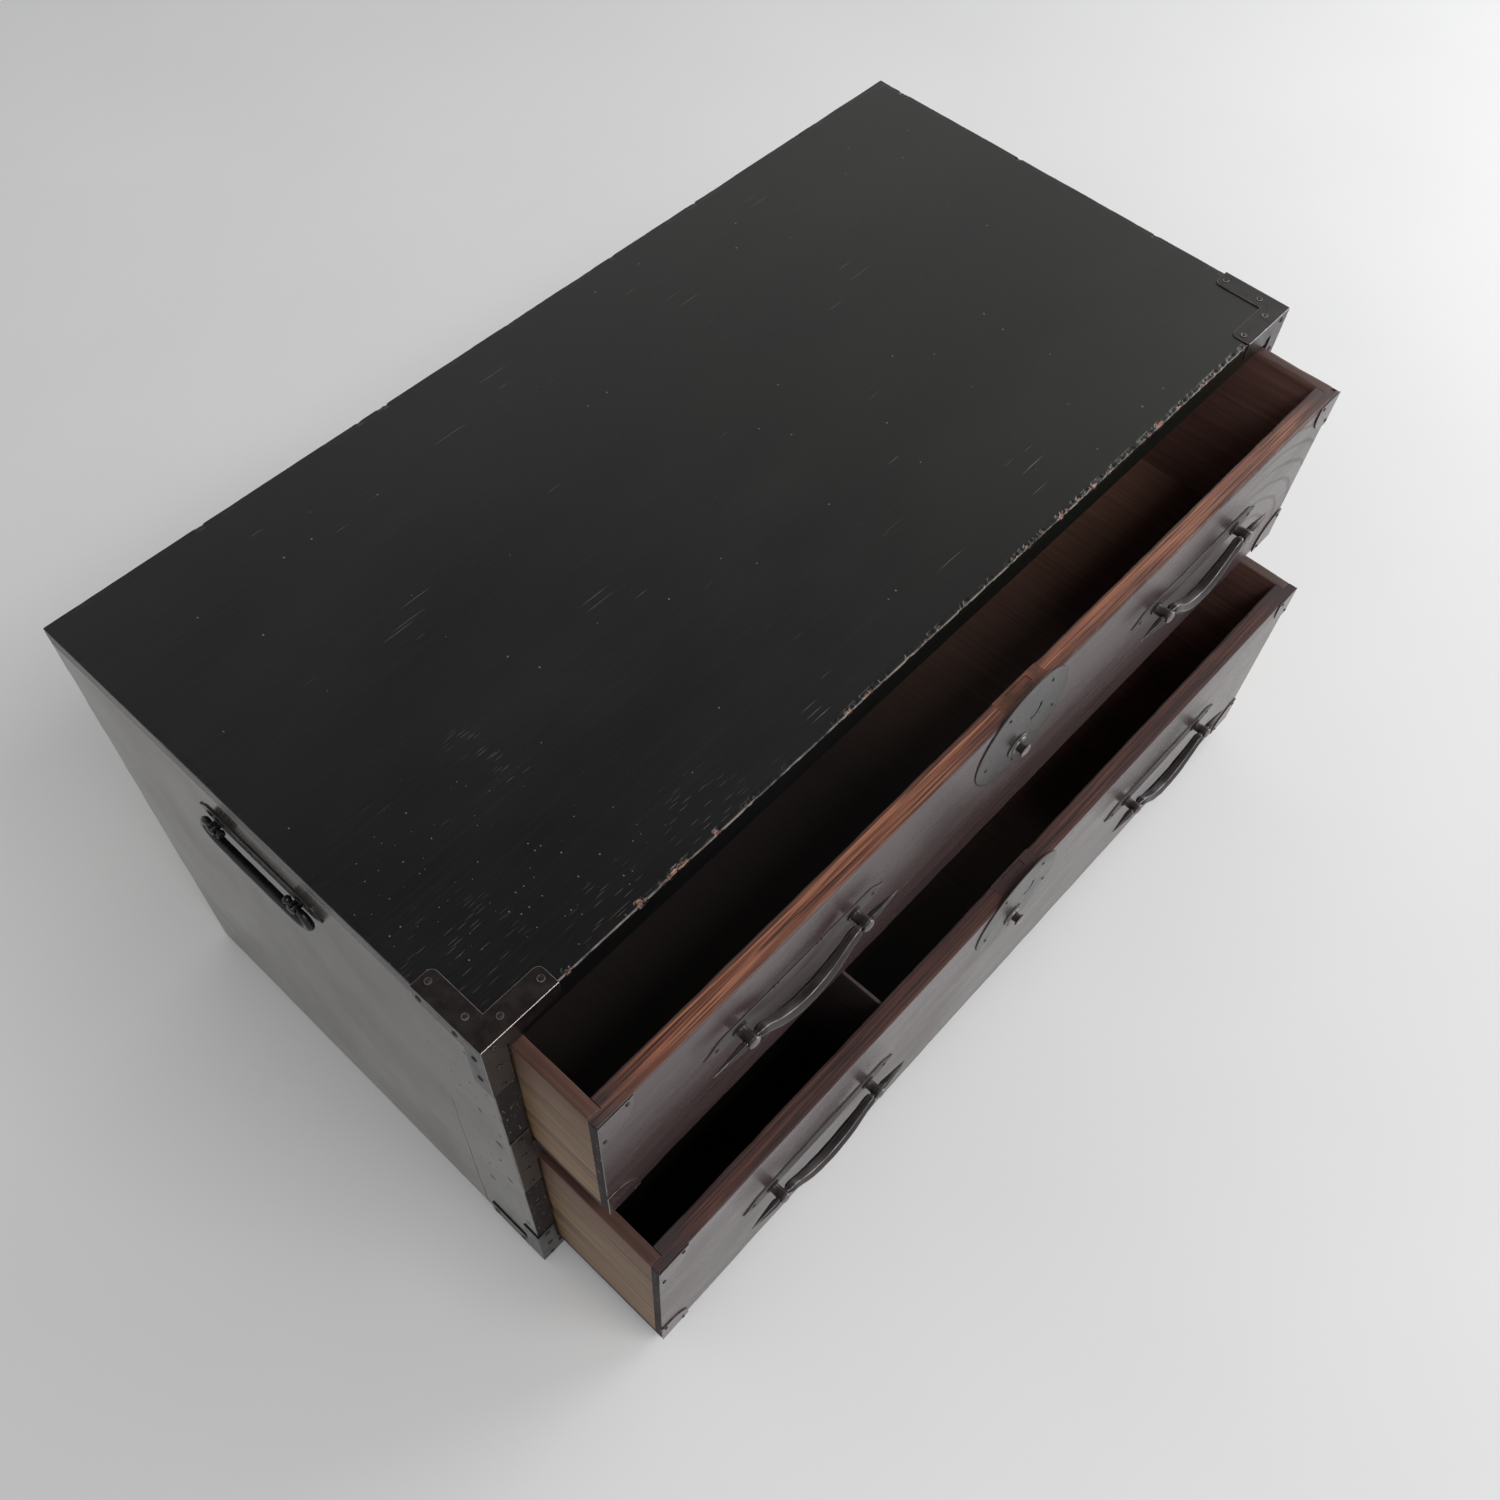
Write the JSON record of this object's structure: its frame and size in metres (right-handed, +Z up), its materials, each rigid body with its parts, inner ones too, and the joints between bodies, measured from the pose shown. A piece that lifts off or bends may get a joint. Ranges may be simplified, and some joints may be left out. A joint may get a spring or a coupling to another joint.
{
  "type": "tansu chest",
  "caption": "Low lacquered wooden chest of drawers with iron corner straps, bail handles, round push-button lock plates and drawers that slide open.",
  "frame": {"origin": "centre of the case's underside, on the floor", "axes": "+X along the width, to the right seen from the front; the drawers open towards -Y; +Z up"},
  "size_m": [0.9208, 0.584, 0.4847],
  "materials": {
    "lacquer_black": "black lacquer on wood, satin, with fine scratches and worn edges",
    "lacquer_side": "dark lacquer on wood, satin, scuffed",
    "lacquer_front": "dark reddish brown lacquer over open wood grain, satin",
    "drawer_wood": "bare aged wood, matt",
    "bare_wood": "bare dark aged wood, matt",
    "iron": "hand-forged blackened iron with brown rust tones, half matt"
  },
  "bodies": {
    "case": {"top_board": "lacquer_black", "left_side_board": "lacquer_side", "right_side_board": "lacquer_side", "bottom_board": "bare_wood", "back_boards": "bare_wood", "middle_rail": "lacquer_black", "middle_shelf": "bare_wood", "kicker_battens": "bare_wood", "drawer_stops": "bare_wood", "upper_left_corner_iron": "iron", "lower_left_corner_iron": "iron", "middle_left_iron": "iron", "left_carry_plate": "iron", "left_carry_posts": "iron", "upper_right_corner_iron": "iron", "lower_right_corner_iron": "iron", "middle_right_iron": "iron", "right_carry_plate": "iron", "right_carry_posts": "iron", "case_nails": "iron"},
    "left_carry_bail": {"left_carry_bail": "iron"},
    "right_carry_bail": {"right_carry_bail": "iron"},
    "upper_drawer": {"upper_drawer_front": "lacquer_front", "upper_drawer_left_side": "drawer_wood", "upper_drawer_right_side": "drawer_wood", "upper_drawer_back": "drawer_wood", "upper_drawer_bottom": "drawer_wood", "upper_lock_plate": "iron", "upper_lock_case": "iron", "upper_lock_spring": "iron", "upper_left_handle_plate": "iron", "upper_left_handle_posts": "iron", "upper_right_handle_plate": "iron", "upper_right_handle_posts": "iron", "upper_front_irons": "iron", "upper_drawer_nails": "iron"},
    "upper_left_bail": {"upper_left_bail": "iron"},
    "upper_right_bail": {"upper_right_bail": "iron"},
    "upper_lock_button": {"upper_lock_button": "iron"},
    "upper_lock_bolt": {"upper_lock_bolt": "iron"},
    "lower_drawer": {"lower_drawer_front": "lacquer_front", "lower_drawer_left_side": "drawer_wood", "lower_drawer_right_side": "drawer_wood", "lower_drawer_back": "drawer_wood", "lower_drawer_bottom": "drawer_wood", "lower_lock_plate": "iron", "lower_lock_case": "iron", "lower_lock_spring": "iron", "lower_left_handle_plate": "iron", "lower_left_handle_posts": "iron", "lower_right_handle_plate": "iron", "lower_right_handle_posts": "iron", "lower_front_irons": "iron", "lower_drawer_nails": "iron", "lower_drawer_divider": "drawer_wood"},
    "lower_left_bail": {"lower_left_bail": "iron"},
    "lower_right_bail": {"lower_right_bail": "iron"},
    "lower_lock_button": {"lower_lock_button": "iron"},
    "lower_lock_bolt": {"lower_lock_bolt": "iron"}
  },
  "joints": [
    {"name": "left_carry_bail_hinge", "type": "hinge", "parent": "case", "child": "left_carry_bail", "pos_m": [-0.456, 0.004, 0.4276], "axis": [0, 1, 0], "range_deg": [-2, 175]},
    {"name": "right_carry_bail_hinge", "type": "hinge", "parent": "case", "child": "right_carry_bail", "pos_m": [0.456, 0.004, 0.4276], "axis": [0, -1, 0], "range_deg": [-2, 175]},
    {"name": "upper_drawer_slide", "type": "slide", "parent": "case", "child": "upper_drawer", "axis": [0, -1, 0], "range_m": [-0.0737, 0.226]},
    {"name": "upper_left_bail_hinge", "type": "hinge", "parent": "upper_drawer", "child": "upper_left_bail", "pos_m": [-0.246, -0.3085, 0.3856], "axis": [-1, 0, 0], "range_deg": [-6, 175]},
    {"name": "upper_right_bail_hinge", "type": "hinge", "parent": "upper_drawer", "child": "upper_right_bail", "pos_m": [0.246, -0.3085, 0.3856], "axis": [-1, 0, 0], "range_deg": [-6, 175]},
    {"name": "upper_lock_button_push", "type": "slide", "parent": "upper_drawer", "child": "upper_lock_button", "axis": [0, 1, 0], "range_m": [0, 0.004], "stiffness_N_per_m": 400, "springref_m": -0.001},
    {"name": "upper_lock_bolt_lift", "type": "slide", "parent": "upper_drawer", "child": "upper_lock_bolt", "axis": [0, 0, 1], "range_m": [0, 0.007]},
    {"name": "lower_drawer_slide", "type": "slide", "parent": "case", "child": "lower_drawer", "axis": [0, -1, 0], "range_m": [-0.1207, 0.179]},
    {"name": "lower_left_bail_hinge", "type": "hinge", "parent": "lower_drawer", "child": "lower_left_bail", "pos_m": [-0.246, -0.3555, 0.1373], "axis": [-1, 0, 0], "range_deg": [-6, 175]},
    {"name": "lower_right_bail_hinge", "type": "hinge", "parent": "lower_drawer", "child": "lower_right_bail", "pos_m": [0.246, -0.3555, 0.1373], "axis": [-1, 0, 0], "range_deg": [-6, 175]},
    {"name": "lower_lock_button_push", "type": "slide", "parent": "lower_drawer", "child": "lower_lock_button", "axis": [0, 1, 0], "range_m": [0, 0.004], "stiffness_N_per_m": 400, "springref_m": -0.001},
    {"name": "lower_lock_bolt_lift", "type": "slide", "parent": "lower_drawer", "child": "lower_lock_bolt", "axis": [0, 0, 1], "range_m": [0, 0.007]}
  ],
  "couplings": [
    {"joint": "upper_lock_bolt_lift", "follows": "upper_lock_button_push", "ratio": 1.75},
    {"joint": "lower_lock_bolt_lift", "follows": "lower_lock_button_push", "ratio": 1.75}
  ]
}
